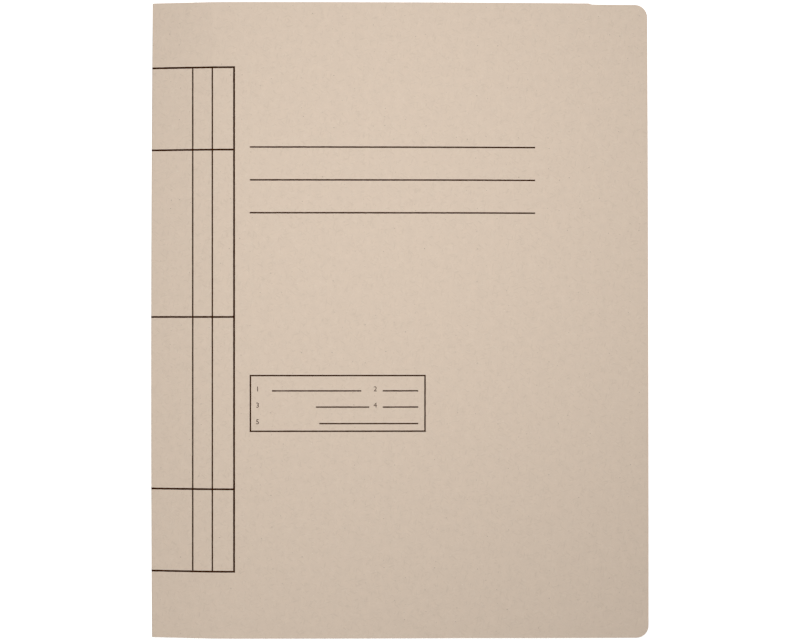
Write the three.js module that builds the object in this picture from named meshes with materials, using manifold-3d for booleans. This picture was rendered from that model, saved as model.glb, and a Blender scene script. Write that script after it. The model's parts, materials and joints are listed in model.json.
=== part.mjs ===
// A4 fastener folder of manila card, closed and lying on its back cover.
// Millimetres. +X runs from the spine to the fore edge, +Y up the page, +Z away from the table.
// The origin is under the middle of the folder, on the table.

import * as THREE from 'three';
import { mergeVertices } from 'three/addons/utils/BufferGeometryUtils.js';
import Module from 'manifold-3d';

const wasm = await Module();
wasm.setup();

// Driving dimensions: the die-cut card blank
const folderWidth = 243;
const folderHeight = 310;
const card = 0.45;
const cornerRadius = 6;
const nickDepth = 0.55;
const nickFromForeEdge = 29;
const nickRun = 1.5;

// The two scored folds at the spine
const foldHeight = 2.8;
const creaseGap = 0.35;
const restGap = 0.1;

// Where the punched sheets and their two holes lie
const sheetFromSpine = 22;
const holeFromSheetEdge = 12;
const prongSpacing = 80;

// Filing strip
const stripCard = 0.45;
const stripWidth = 34;
const stripBeyondBar = 23;
const stripCorner = 4;
const glue = 0.05;

// Prong strip of thin tinplate
const tin = 0.3;
const baseWidth = 7;
const prongWidth = 5;
const bendRadius = 0.35;
const bendGap = 0.25;
const pocketClearance = 0.3;
const slitClearance = 0.4;

// Pressed cover bar with hemmed edges
const barTin = 0.3;
const barWidth = 9;
const barHeight = 1;
const barHem = 1.4;
const barBeyondProngs = 12;
const barCorner = 3;
const slotInward = 4.4;
const slotOutward = 0.4;

// Sliding clips
const clipTin = 0.3;
const clipLength = 8;
const clipLip = 1.2;
const clipSideClearance = 0.15;
const clipSeatGap = 0.1;
const clipTopClearance = 0.15;
const clipPartingGap = 2;
const tipClearance = 1;
const ribHeight = 0.45;
const ribWidth = 0.9;
const ribInset = 1.4;
const ribPitch = 2;
const ribCount = 3;

// How the front cover bends up over the fastener, along three scored lines
const firstScoreFromSpine = 20.5;
const secondScoreFromSpine = 30.15;
const ridgeFromSpine = 40.75;
const firstScoreBelowRidge = 2.7;
const secondScoreBelowRidge = 0.7;
const coverStandOff = 5.9;

// Fineness of the curves
const archSteps = 30;
const roundSteps = 8;
const cutMargin = 2;

// Places worked out from the sizes above
const spineX = -folderWidth / 2;
const foreEdgeX = folderWidth / 2;
const topY = folderHeight / 2;
const creaseX = spineX + card / 2;
const prongX = spineX + sheetFromSpine + holeFromSheetEdge;
const prongY = prongSpacing / 2;

const baseBottom = card + glue;
const baseTop = baseBottom + tin;
const stripBottom = card + glue;
const pocketTop = baseTop + glue;
const plateauTop = pocketTop + stripCard;

const clipBottom = plateauTop + glue;
const barBottom = clipBottom + clipTin + clipSeatGap;
const barTop = barBottom + barHeight;
const prongBottom = barTop + glue;
const prongTop = prongBottom + tin;
const bendZ = (prongBottom + prongTop) / 2;
const clipCeiling = prongTop + clipTopClearance;
const clipTop = clipCeiling + clipTin;
const fastenerTop = clipTop + ribHeight;

const ridgeX = spineX + ridgeFromSpine;
const ridgeZ = fastenerTop + coverStandOff + card / 2;
const foldZ = foldHeight - card / 2;
const foreEdgeZ = card + restGap + card / 2;

const prongLength = prongY - clipPartingGap / 2 - clipLength - tipClearance;
const barLength = prongSpacing + 2 * barBeyondProngs;
const stripLength = barLength + 2 * stripBeyondBar;

const manila = new THREE.MeshStandardMaterial({ color: 0xd4c3b0, roughness: 0.9, metalness: 0 });
const stripManila = new THREE.MeshStandardMaterial({ color: 0xcdbba4, roughness: 0.9, metalness: 0 });
const tinplate = new THREE.MeshStandardMaterial({ color: 0xc9c8c4, roughness: 0.35, metalness: 1 });
const barSteel = new THREE.MeshStandardMaterial({ color: 0xbdbdbb, roughness: 0.3, metalness: 1 });

// A closed geometry as a solid for cutting and joining.
function solidOf(geometry) {
  const bare = geometry.clone();
  bare.deleteAttribute('normal');
  bare.deleteAttribute('uv');
  const merged = mergeVertices(bare);
  const vertProperties = new Float32Array(merged.attributes.position.array);
  const triVerts = new Uint32Array(merged.index.array);
  return new wasm.Manifold(new wasm.Mesh({ numProp: 3, vertProperties, triVerts }));
}

// A solid back as a geometry.
function geometryOf(solid) {
  const mesh = solid.getMesh();
  const geometry = new THREE.BufferGeometry();
  geometry.setAttribute('position', new THREE.BufferAttribute(mesh.vertProperties, 3));
  geometry.setIndex(new THREE.BufferAttribute(mesh.triVerts, 1));
  geometry.computeVertexNormals();
  return geometry;
}

function part(name, geometry, material) {
  const mesh = new THREE.Mesh(geometry, material);
  mesh.name = name;
  return mesh;
}

// A flat sheet: an outline in X and Y, given its thickness upwards from a height.
function sheet(outline, bottom, thickness) {
  const options = { depth: thickness, bevelEnabled: false, curveSegments: roundSteps };
  return new THREE.ExtrudeGeometry(outline, options).translate(0, 0, bottom);
}

// A section in X and Z, drawn out along Y and centred on a point of that axis.
function drawnAlongY(section, length, centreY = 0) {
  const options = { depth: length, bevelEnabled: false, curveSegments: roundSteps };
  const geometry = new THREE.ExtrudeGeometry(section, options);
  return geometry.rotateX(Math.PI / 2).translate(0, centreY + length / 2, 0);
}

// A section in Y and Z, drawn out along X and centred on a point of that axis.
function drawnAlongX(section, length, centreX = 0) {
  const options = { depth: length, bevelEnabled: false, curveSegments: roundSteps };
  const geometry = new THREE.ExtrudeGeometry(section, options).translate(0, 0, -length / 2);
  geometry.applyMatrix4(new THREE.Matrix4().makeBasis(
    new THREE.Vector3(0, 1, 0), new THREE.Vector3(0, 0, 1), new THREE.Vector3(1, 0, 0)));
  return geometry.translate(centreX, 0, 0);
}

function block(x, y, z, centreX, centreY, centreZ) {
  return new THREE.BoxGeometry(x, y, z).translate(centreX, centreY, centreZ);
}

// A rectangle with four rounded corners, about a centre.
function roundedRectangle(width, height, radius, centreX = 0, centreY = 0) {
  const r = Math.min(radius, width / 2, height / 2);
  const [left, right] = [centreX - width / 2, centreX + width / 2];
  const [low, high] = [centreY - height / 2, centreY + height / 2];
  const shape = new THREE.Shape();
  shape.moveTo(left + r, low);
  shape.lineTo(right - r, low);
  shape.absarc(right - r, low + r, r, -Math.PI / 2, 0);
  shape.lineTo(right, high - r);
  shape.absarc(right - r, high - r, r, 0, Math.PI / 2);
  shape.lineTo(left + r, high);
  shape.absarc(left + r, high - r, r, Math.PI / 2, Math.PI);
  shape.lineTo(left, low + r);
  shape.absarc(left + r, low + r, r, Math.PI, Math.PI * 1.5);
  return shape;
}

// Plan of one cover: square at the spine, rounded at the fore edge, with the small step in its top
// edge that the die leaves.
function coverOutline(startX) {
  const r = cornerRadius;
  const nickX = foreEdgeX - nickFromForeEdge;
  const lowTop = topY - nickDepth;
  const outline = new THREE.Shape();
  outline.moveTo(startX, -topY);
  outline.lineTo(foreEdgeX - r, -topY);
  outline.absarc(foreEdgeX - r, -topY + r, r, -Math.PI / 2, 0);
  outline.lineTo(foreEdgeX, lowTop - r);
  outline.absarc(foreEdgeX - r, lowTop - r, r, 0, Math.PI / 2);
  outline.lineTo(nickX + nickRun, lowTop);
  outline.lineTo(nickX, topY);
  outline.lineTo(startX, topY);
  return outline;
}

// Line of the middle of the front cover: straight from the fold over two scored lines to the third,
// which is the ridge, and then a parabola that leaves it level and falls to the fore edge.
function coverLine(startX, endX) {
  const fold = new THREE.Vector2(creaseX, foldZ);
  const firstScore = new THREE.Vector2(spineX + firstScoreFromSpine, ridgeZ - firstScoreBelowRidge);
  const secondScore = new THREE.Vector2(spineX + secondScoreFromSpine, ridgeZ - secondScoreBelowRidge);
  const start = fold.clone().lerp(firstScore, (startX - creaseX) / (firstScore.x - creaseX));
  const line = [start, firstScore, secondScore];
  for (let i = 0; i <= archSteps; i += 1) {
    const x = ridgeX + (endX - ridgeX) * i / archSteps;
    const fall = (ridgeZ - foreEdgeZ) * ((x - ridgeX) / (foreEdgeX - ridgeX)) ** 2;
    line.push(new THREE.Vector2(x, ridgeZ - fall));
  }
  return line;
}

// Section of bent card: half a thickness to each side of its line, square to it.
function cardSection(line) {
  const above = [];
  const below = [];
  line.forEach((point, i) => {
    const arriving = point.clone().sub(line[Math.max(i - 1, 0)]).normalize();
    const leaving = line[Math.min(i + 1, line.length - 1)].clone().sub(point).normalize();
    const along = arriving.add(leaving).normalize();
    const toSide = new THREE.Vector2(-along.y, along.x).multiplyScalar(card / 2);
    above.push(point.clone().add(toSide));
    below.push(point.clone().sub(toSide));
  });
  return new THREE.Shape([...below, ...above.reverse()]);
}

function backCover() {
  return sheet(coverOutline(creaseX + creaseGap), 0, card);
}

function spinePanel() {
  const low = card / 2 + creaseGap;
  const high = foldZ - creaseGap;
  return block(card, folderHeight, high - low, creaseX, 0, (low + high) / 2);
}

// The card blank is drawn out as one long bent sheet and then cut to the cover's plan.
function frontCover() {
  const startX = creaseX + creaseGap;
  const section = cardSection(coverLine(startX, foreEdgeX + cutMargin));
  const bent = drawnAlongY(section, folderHeight + 2 * cutMargin);
  const plan = sheet(coverOutline(startX - card), -cutMargin, ridgeZ + 2 * cutMargin);
  return geometryOf(solidOf(bent).intersect(solidOf(plan)));
}

// Flat card strip, embossed upwards over the prong strip, with a slit for each prong.
function filingStrip() {
  const pocketWidth = baseWidth + 2 * pocketClearance;
  const pocketLength = prongSpacing + 2 * (bendRadius + tin + pocketClearance);
  const embossWidth = pocketWidth + 2 * stripCard;
  const embossLength = pocketLength + 2 * stripCard;
  const flat = sheet(roundedRectangle(stripWidth, stripLength, stripCorner, prongX), stripBottom, stripCard);
  const emboss = sheet(
    roundedRectangle(embossWidth, embossLength, embossWidth / 4, prongX), stripBottom,
    plateauTop - stripBottom);
  const pocket = sheet(
    roundedRectangle(pocketWidth, pocketLength, pocketWidth / 8, prongX), stripBottom - cutMargin,
    pocketTop - stripBottom + cutMargin);
  let solid = solidOf(flat).add(solidOf(emboss)).subtract(solidOf(pocket));
  for (const side of [-1, 1]) {
    const slit = block(
      prongWidth + 2 * slitClearance, tin + 2 * slitClearance, plateauTop + cutMargin,
      prongX, side * prongY, (plateauTop + cutMargin) / 2);
    solid = solid.subtract(solidOf(slit));
  }
  return geometryOf(solid);
}

// One strip of tinplate bent into a wide U: the floor lies under the filing strip and the two ends
// stand up through it as the roots of the prongs.
function fastenerBase() {
  const outer = bendRadius + tin;
  const reach = prongY + tin / 2;
  const top = bendZ - bendGap;
  const section = new THREE.Shape();
  section.moveTo(-reach, top);
  section.lineTo(-reach, baseBottom + outer);
  section.absarc(-reach + outer, baseBottom + outer, outer, Math.PI, Math.PI * 1.5);
  section.lineTo(reach - outer, baseBottom);
  section.absarc(reach - outer, baseBottom + outer, outer, -Math.PI / 2, 0);
  section.lineTo(reach, top);
  section.lineTo(reach - tin, top);
  section.lineTo(reach - tin, baseBottom + outer);
  section.absarc(reach - outer, baseBottom + outer, bendRadius, 0, -Math.PI / 2, true);
  section.lineTo(-reach + outer, baseTop);
  section.absarc(-reach + outer, baseBottom + outer, bendRadius, -Math.PI / 2, -Math.PI, true);
  section.lineTo(-reach + tin, top);
  const bent = drawnAlongX(section, prongWidth, prongX);
  const floorLength = 2 * (reach - 2 * outer);
  const floor = block(baseWidth, floorLength, tin, prongX, 0, baseBottom + tin / 2);
  return geometryOf(solidOf(bent).add(solidOf(floor)));
}

// The free length of a prong, bent inwards and lying along the bar, with a rounded tip.
function prong(side) {
  const root = side * (prongY - bendGap);
  const tip = side * (prongY - prongLength);
  const half = prongWidth / 2;
  const outline = new THREE.Shape();
  outline.moveTo(prongX - half, root);
  outline.lineTo(prongX - half, tip + side * half);
  outline.absarc(prongX, tip + side * half, half, Math.PI, side > 0 ? 2 * Math.PI : 0, side < 0);
  outline.lineTo(prongX + half, root);
  return sheet(outline, prongBottom, tin);
}

// Flat channel with its edges hemmed under, rounded ends and a slot over each prong.
function coverBar() {
  const half = barWidth / 2;
  const section = new THREE.Shape();
  section.moveTo(-half + barHem, barBottom);
  section.lineTo(-half + barTin, barBottom);
  section.absarc(-half + barTin, barBottom + barTin, barTin, -Math.PI / 2, -Math.PI, true);
  section.lineTo(-half, barTop - barTin);
  section.absarc(-half + barTin, barTop - barTin, barTin, Math.PI, Math.PI / 2, true);
  section.lineTo(half - barTin, barTop);
  section.absarc(half - barTin, barTop - barTin, barTin, Math.PI / 2, 0, true);
  section.lineTo(half, barBottom + barTin);
  section.absarc(half - barTin, barBottom + barTin, barTin, 0, -Math.PI / 2, true);
  section.lineTo(half - barHem, barBottom);
  section.lineTo(half - barHem, barBottom + barTin);
  section.lineTo(half - barTin, barBottom + barTin);
  section.lineTo(half - barTin, barTop - barTin);
  section.lineTo(-half + barTin, barTop - barTin);
  section.lineTo(-half + barTin, barBottom + barTin);
  section.lineTo(-half + barHem, barBottom + barTin);
  const channel = drawnAlongY(section, barLength).translate(prongX, 0, 0);
  const ends = sheet(
    roundedRectangle(barWidth, barLength, barCorner, prongX), barBottom - cutMargin,
    barHeight + 2 * cutMargin);
  let solid = solidOf(channel).intersect(solidOf(ends));
  const slotLength = slotInward + slotOutward;
  for (const side of [-1, 1]) {
    const slot = roundedRectangle(
      prongWidth + 2 * slitClearance, slotLength, slitClearance,
      prongX, side * (prongY + (slotOutward - slotInward) / 2));
    const cut = sheet(slot, barBottom - cutMargin, barHeight + 2 * cutMargin);
    solid = solid.subtract(solidOf(cut));
  }
  return geometryOf(solid);
}

// Clip of thin sheet that wraps the bar and leaves room above it for the prong, with ribs for the
// thumb pressed into its top. It is parked at the middle of the bar.
function clip(side) {
  const inner = barWidth / 2 + clipSideClearance;
  const outer = inner + clipTin;
  const lip = inner - clipLip;
  const lipTop = clipBottom + clipTin;
  const section = new THREE.Shape();
  section.moveTo(-lip, clipBottom);
  section.lineTo(-inner, clipBottom);
  section.absarc(-inner, lipTop, clipTin, -Math.PI / 2, -Math.PI, true);
  section.lineTo(-outer, clipCeiling);
  section.absarc(-inner, clipCeiling, clipTin, Math.PI, Math.PI / 2, true);
  section.lineTo(inner, clipTop);
  section.absarc(inner, clipCeiling, clipTin, Math.PI / 2, 0, true);
  section.lineTo(outer, lipTop);
  section.absarc(inner, lipTop, clipTin, 0, -Math.PI / 2, true);
  section.lineTo(lip, clipBottom);
  section.lineTo(lip, lipTop);
  section.lineTo(inner, lipTop);
  section.lineTo(inner, clipCeiling);
  section.lineTo(-inner, clipCeiling);
  section.lineTo(-inner, lipTop);
  section.lineTo(-lip, lipTop);
  const centreY = side * (clipPartingGap + clipLength) / 2;
  let solid = solidOf(drawnAlongY(section, clipLength, centreY).translate(prongX, 0, 0));
  for (let i = 0; i < ribCount; i += 1) {
    const y = centreY + (i - (ribCount - 1) / 2) * ribPitch;
    const rib = new THREE.Shape();
    rib.moveTo(y - ribWidth / 2, clipTop - clipTin / 2);
    rib.lineTo(y - ribWidth / 2, clipTop);
    rib.absellipse(y, clipTop, ribWidth / 2, ribHeight, Math.PI, 0, true);
    rib.lineTo(y + ribWidth / 2, clipTop - clipTin / 2);
    solid = solid.add(solidOf(drawnAlongX(rib, 2 * (inner - ribInset), prongX)));
  }
  return geometryOf(solid);
}

const folder = new THREE.Group();
folder.add(part('back_cover', backCover(), manila));
folder.add(part('spine_panel', spinePanel(), manila));
folder.add(part('front_cover', frontCover(), manila));
folder.add(part('filing_strip', filingStrip(), stripManila));
folder.add(part('fastener_base', fastenerBase(), tinplate));
folder.add(part('prong_upper', prong(1), tinplate));
folder.add(part('prong_lower', prong(-1), tinplate));
folder.add(part('cover_bar', coverBar(), barSteel));
folder.add(part('slider_upper', clip(1), barSteel));
folder.add(part('slider_lower', clip(-1), barSteel));

export default folder;
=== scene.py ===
# %% [markdown]
# A manila fastener folder, seen closed from straight above. Nearly every piece of such a folder
# starts as a flat sheet: the covers are one die-cut card with two scored folds, and the fastener
# inside is pressed from thin tinplate. So this lesson makes each piece as its maker does. A flat
# blank is cut to its outline, cut into fine strips so that it can bend, given its thickness, and
# then folded along a line. The construction model is loaded first and gives every size and place.

# %% Load the construction model
import json
import math
import random

import bmesh
import bpy
import numpy as np
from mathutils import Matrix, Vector


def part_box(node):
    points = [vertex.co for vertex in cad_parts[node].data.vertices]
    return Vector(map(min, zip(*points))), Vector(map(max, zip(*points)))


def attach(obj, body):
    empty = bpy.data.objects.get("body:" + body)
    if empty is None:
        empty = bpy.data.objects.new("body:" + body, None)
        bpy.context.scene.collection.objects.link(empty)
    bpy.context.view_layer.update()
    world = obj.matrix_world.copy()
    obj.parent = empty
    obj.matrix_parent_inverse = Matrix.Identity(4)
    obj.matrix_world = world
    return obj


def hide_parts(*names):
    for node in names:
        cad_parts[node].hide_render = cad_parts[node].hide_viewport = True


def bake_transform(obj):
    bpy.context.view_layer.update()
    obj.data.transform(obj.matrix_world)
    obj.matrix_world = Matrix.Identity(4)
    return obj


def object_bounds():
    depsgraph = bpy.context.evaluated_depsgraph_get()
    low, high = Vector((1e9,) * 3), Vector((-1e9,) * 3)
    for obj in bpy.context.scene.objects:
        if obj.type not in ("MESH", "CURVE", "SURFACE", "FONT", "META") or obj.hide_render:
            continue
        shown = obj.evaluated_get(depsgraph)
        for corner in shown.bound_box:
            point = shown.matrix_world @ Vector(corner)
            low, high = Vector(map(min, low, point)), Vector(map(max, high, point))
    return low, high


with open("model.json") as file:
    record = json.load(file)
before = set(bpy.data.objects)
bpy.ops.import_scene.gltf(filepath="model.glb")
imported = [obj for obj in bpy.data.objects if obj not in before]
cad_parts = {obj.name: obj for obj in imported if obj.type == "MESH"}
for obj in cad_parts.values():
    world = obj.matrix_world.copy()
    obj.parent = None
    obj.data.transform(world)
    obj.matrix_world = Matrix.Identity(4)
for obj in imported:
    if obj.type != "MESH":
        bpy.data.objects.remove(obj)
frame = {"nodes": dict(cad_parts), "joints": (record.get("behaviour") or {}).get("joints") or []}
cad_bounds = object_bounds()
MM = 0.001
print("construction box in mm:", [[round(c / MM, 2) for c in corner] for corner in cad_bounds])

# %% [markdown]
# The sizes below are read off the construction model, so the looks follow it. A joint's place is
# the line that a fold turns about, and the highest point of the front cover is its ridge.

# %% Sizes from the model
joints = {joint["name"]: joint for joint in frame["joints"]}
back_fold = Vector(joints["spine_fold"]["pos_m"])
front_fold = Vector(joints["cover_fold"]["pos_m"])
back_low, back_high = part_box("back_cover")
front_low, front_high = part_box("front_cover")
strip_low, strip_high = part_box("filing_strip")
base_low, base_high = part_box("fastener_base")
bar_low, bar_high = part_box("cover_bar")
clip_low, clip_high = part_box("slider_upper")
prong_low, prong_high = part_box("prong_upper")

card = back_high.z - back_low.z
spine_x = cad_bounds[0].x
fore_x = cad_bounds[1].x
top_y = cad_bounds[1].y
prong_x = (prong_low.x + prong_high.x) / 2
prong_y = joints["upper_prong_bend"]["pos_m"][1]
bend_z = joints["upper_prong_bend"]["pos_m"][2]
tin = prong_high.z - prong_low.z


def cover_height(x):
    """Height of the middle of the front cover's card, from the nearest vertices of the model."""
    reach = 0.15 * MM
    near = [v.co.z for v in frame["nodes"]["front_cover"].data.vertices if abs(v.co.x - x) < reach]
    return (min(near) + max(near)) / 2


SCORE_PLACES = (20.5, 30.15, 40.75)
SCORES = [spine_x + place * MM for place in SCORE_PLACES]
score_heights = [cover_height(x) for x in SCORES]
ridge_x, ridge_z = SCORES[-1], score_heights[-1]
print(f"card {card / MM:.2f} mm, scored lines at heights", [round(z / MM, 2) for z in score_heights])

# %% [markdown]
# A fold line is the path that a sheet takes when it is seen from its end. It is drawn like a walk:
# straight runs, bends of a radius, and curves that follow a formula. Afterwards any distance along
# the flat sheet can be turned into a place and a direction, which is all that bending needs. A
# hair, a thousandth of a millimetre, is the length that counts as nothing.

# %% A fold line
HAIR = 1e-6


class FoldLine:
    """The path of a bent sheet in a plane, walked from a start, with its left side as plus."""

    def __init__(self, a, b, heading):
        self.a, self.b, self.heading = [a], [b], [heading]

    def step(self, a, b, heading):
        """Adds one place of the path."""
        self.a.append(a)
        self.b.append(b)
        self.heading.append(heading)

    def run(self, length, steps=1):
        """Straight on for a length."""
        heading, a, b = self.heading[-1], self.a[-1], self.b[-1]
        for i in range(1, steps + 1):
            part = length * i / steps
            self.step(a + math.cos(heading) * part, b + math.sin(heading) * part, heading)
        return self

    def bend(self, radius, turn, steps=10):
        """An arc of a radius, to the left where the turn is more than nothing."""
        side = 1 if turn > 0 else -1
        start = self.heading[-1]
        centre_a = self.a[-1] - side * radius * math.sin(start)
        centre_b = self.b[-1] + side * radius * math.cos(start)
        for i in range(1, steps + 1):
            now = start + turn * i / steps
            out_a, out_b = side * radius * math.sin(now), side * radius * math.cos(now)
            self.step(centre_a + out_a, centre_b - out_b, now)
        return self

    def follow(self, height, end, steps):
        """A curve whose height is a formula, as far as an end."""
        start = self.a[-1]
        for i in range(1, steps + 1):
            a = start + (end - start) * i / steps
            slope = (height(a + HAIR) - height(a - HAIR)) / (2 * HAIR)
            self.step(a, height(a), math.atan(slope))
        return self

    def done(self):
        """Measures the way along the sheet at each step."""
        steps = np.hypot(np.diff(self.a), np.diff(self.b))
        self.u = np.concatenate([[0], np.cumsum(steps)])
        return self

    def at(self, u, lift):
        """Place of a point at u along the sheet and lift to its left."""
        a, b, heading = (np.interp(u, self.u, line) for line in (self.a, self.b, self.heading))
        return a - math.sin(heading) * lift, b + math.cos(heading) * lift

    def u_at(self, a):
        """Distance along the sheet of a place beyond the upright part that it starts with."""
        past = next(i for i in range(1, len(self.a)) if self.a[i] > self.a[0] + HAIR)
        return float(np.interp(a, self.a[past:], self.u[past:]))


quarter = FoldLine(0, 0, 0).bend(1 * MM, math.pi / 2).done()
print(f"a quarter turn of 1 mm radius takes up {quarter.u[-1] / MM:.2f} mm of sheet")

# %% [markdown]
# A flat blank is one face with its outline. Bevelling a corner vertex rounds that corner with a
# true arc, bisecting the face along straight lines gives it the strips that let it bend, and
# extruding it gives the sheet its thickness. Holes are cut while it is one layer, so that the
# extrusion makes their walls too. Only then is each vertex carried to its bent place.

# %% Cutting and thickening a blank
CUT_SNAP = 1e-8
ARC_SEGMENTS = 8
OUTER, INNER, CUT_EDGE = 0, 1, 2


def bisect_all(bm, places, axis):
    """Cuts every face along straight lines square to an axis."""
    normal = [0, 0, 0]
    normal[axis] = 1
    for place in places:
        point = [0, 0, 0]
        point[axis] = place
        geom = bm.verts[:] + bm.edges[:] + bm.faces[:]
        bmesh.ops.bisect_plane(bm, geom=geom, plane_co=point, plane_no=normal, dist=CUT_SNAP)


def rectangle(low_u, low_v, high_u, high_v):
    """The four corners of a plain outline, from the lower left one on."""
    return [(low_u, low_v), (high_u, low_v), (high_u, high_v), (low_u, high_v)]


def mirrored(corner, length):
    """An outline with four corners alike, from the points of the one at the upper left."""
    upper_edge = corner + [(length - u, v) for u, v in reversed(corner)]
    return [(u, -v) for u, v in upper_edge] + upper_edge[::-1]


def flat_face(outline, height, rounds):
    """One face in a new bmesh, rounded at some corners. A round is (corner number, radius)."""
    bm = bmesh.new()
    corners = [bm.verts.new((u, v, height)) for u, v in outline]
    bm.faces.new(corners)
    for number, radius in rounds:
        bmesh.ops.bevel(
            bm, geom=[corners[number]], offset=radius, affect="VERTICES", segments=ARC_SEGMENTS,
            profile=0.5, material=-1)
    return bm


def thicken(bm, depth):
    """Extrudes a flat layer by a depth, upwards where that is more than nothing."""
    grown = bmesh.ops.extrude_face_region(bm, geom=bm.faces[:])
    moved = [item for item in grown["geom"] if isinstance(item, bmesh.types.BMVert)]
    bmesh.ops.translate(bm, vec=(0, 0, depth), verts=moved)


def blank(outline, thickness, rounds=(), u_cuts=(), v_cuts=(), holes=()):
    """A flat sheet as a bmesh: its outline in u and v, rounded at some corners, cut into strips
    and given its thickness, half to each side. A hole is (low u, low v, high u, high v)."""
    bm = flat_face(outline, thickness / 2, rounds)
    for low_u, low_v, high_u, high_v in holes:
        bisect_all(bm, (low_u, high_u), 0)
        bisect_all(bm, (low_v, high_v), 1)
    bisect_all(bm, u_cuts, 0)
    bisect_all(bm, v_cuts, 1)
    for low_u, low_v, high_u, high_v in holes:
        inside = [
            face for face in bm.faces
            if low_u < face.calc_center_median().x < high_u
            and low_v < face.calc_center_median().y < high_v]
        bmesh.ops.delete(bm, geom=inside, context="FACES")
    thicken(bm, -thickness)
    for face in bm.faces:
        middle = face.calc_center_median().z
        if abs(middle) < thickness / 4:
            face.material_index = CUT_EDGE
        else:
            face.material_index = OUTER if middle > 0 else INNER
    return bm


sample = blank(rectangle(0, 0, 4, 2), 1, u_cuts=[1, 2, 3])
print("a blank cut three times has", len(sample.faces), "faces")
sample.free()

# %% Bending a blank
FLAT_MAP = "flat_sheet"


def bend(bm, place, way=1):
    """Keeps each vertex's flat place as a UV map, in metres, and carries it to its bent place.
    The way is -1 where a sheet runs on backwards from another one's start."""
    flat = bm.loops.layers.uv.new(FLAT_MAP)
    for face in bm.faces:
        for loop in face.loops:
            loop[flat].uv = (way * loop.vert.co.x, loop.vert.co.y)
    for vertex in bm.verts:
        vertex.co = place(*vertex.co)
    return bm


def steps_between(low, high, step):
    """Evenly spaced places from low to high, about a step apart, without the two ends."""
    count = max(1, round((high - low) / step))
    return [low + (high - low) * i / count for i in range(1, count)]


# %% From a blank to an object
SHARP_ANGLE = math.radians(35)


def in_scene(name, data):
    """A new object in the scene, from its data."""
    made = bpy.data.objects.new(name, data)
    bpy.context.scene.collection.objects.link(made)
    return made


def new_piece(name, bm, materials, bevel=0.0):
    """A finished bmesh as an object at the origin, smooth but for its sharp edges."""
    bmesh.ops.recalc_face_normals(bm, faces=bm.faces[:])
    for edge in bm.edges:
        edge.smooth = len(edge.link_faces) == 2 and edge.calc_face_angle(0) < SHARP_ANGLE
    for face in bm.faces:
        face.smooth = True
    open_edges = sum(1 for edge in bm.edges if len(edge.link_faces) != 2)
    mesh = bpy.data.meshes.new(name)
    bm.to_mesh(mesh)
    bm.free()
    piece = in_scene(name, mesh)
    for material in materials:
        mesh.materials.append(material)
    if bevel:
        soft = piece.modifiers.new("worn_edges", "BEVEL")
        soft.width = bevel
        soft.segments = 2
        soft.limit_method = "ANGLE"
        soft.angle_limit = SHARP_ANGLE
    print(f"{name}: {len(mesh.polygons)} faces, {open_edges} open edges")
    return piece


# %% [markdown]
# A material is a tree of small nodes that each do one sum. These helpers write such a tree in
# short lines: one adds a node and feeds its inputs, and others do a sum, carry a value from one
# range to another or blend two colours.

# %% Shader helpers
def feed(tree, socket, value):
    """Gives a socket a value, or a link where the value is another node's output."""
    if isinstance(value, bpy.types.NodeSocket):
        tree.links.new(value, socket)
    else:
        socket.default_value = value


def add(tree, kind, settings=(), **inputs):
    """A node of a kind with some settings, and values or links for its inputs by name."""
    made = tree.nodes.new("ShaderNode" + kind)
    for name, value in dict(settings).items():
        setattr(made, name, value)
    for name, value in inputs.items():
        label = name.replace("_", " ")
        feed(tree, next(s for s in made.inputs if s.name == label and s.enabled), value)
    return made


def math_node(tree, operation, first, second=0.0, clamp=False):
    """The result of one sum on two values or sockets."""
    made = tree.nodes.new("ShaderNodeMath")
    made.operation = operation
    made.use_clamp = clamp
    feed(tree, made.inputs[0], first)
    feed(tree, made.inputs[1], second)
    return made.outputs[0]


def ramp(tree, value, low, high, to_low=0.0, to_high=1.0):
    """A value carried evenly from one range to another, and held at its ends."""
    made = add(
        tree, "MapRange", Value=value, From_Min=low, From_Max=high, To_Min=to_low, To_Max=to_high)
    return made.outputs["Result"]


def mix_colours(tree, factor, first, second):
    """The first colour with a share of the second one."""
    made = add(tree, "Mix", {"data_type": "RGBA"}, Factor=factor, A=first, B=second)
    return next(s for s in made.outputs if s.enabled)


# %% Groups and materials
NOISE_RANGE = (-0.2, 0.2)


def scaled_vector(tree, vector, factor):
    """A vector, or a colour, times a factor."""
    made = add(tree, "VectorMath", {"operation": "SCALE"}, Vector=vector, Scale=factor)
    return made.outputs[0]


def flat_map(tree):
    """The place on the flat sheet, in metres, that every bent piece keeps."""
    return add(tree, "UVMap", {"uv_map": FLAT_MAP}).outputs["UV"]


def flat_noise(tree, place, scale, detail, roughness=0.5):
    """Noise over a flat map, as a value about zero."""
    made = add(
        tree, "TexNoise", {"noise_dimensions": "2D"}, Vector=place, Scale=scale, Detail=detail,
        Roughness=roughness)
    return math_node(tree, "SUBTRACT", made.outputs["Fac"], 0.5)


def new_group(name, amounts):
    """A shader group that takes a tone and some amounts and gives a surface's look."""
    tree = bpy.data.node_groups.new(name, "ShaderNodeTree")
    sockets = [("Tone", "Color", "INPUT"), ("Color", "Color", "OUTPUT")]
    sockets += [(label, "Float", "INPUT") for label in amounts]
    sockets += [(label, "Float", "OUTPUT") for label in ("Roughness", "Height")]
    for label, kind, way in sockets:
        tree.interface.new_socket(label, in_out=way, socket_type="NodeSocket" + kind)
    return tree, tree.nodes.new("NodeGroupInput"), tree.nodes.new("NodeGroupOutput")


def srgb(red, green, blue):
    """A colour written as it looks on a screen, 0 to 255, as the linear light that shaders use."""
    def linear(c):
        c /= 255
        return c / 12.92 if c <= 0.04045 else ((c + 0.055) / 1.055) ** 2.4
    return (linear(red), linear(green), linear(blue), 1.0)


def new_material(name):
    """A material, its node tree and its main shader."""
    material = bpy.data.materials.new(name)
    material.use_nodes = True
    return material, material.node_tree, material.node_tree.nodes["Principled BSDF"]


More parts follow.
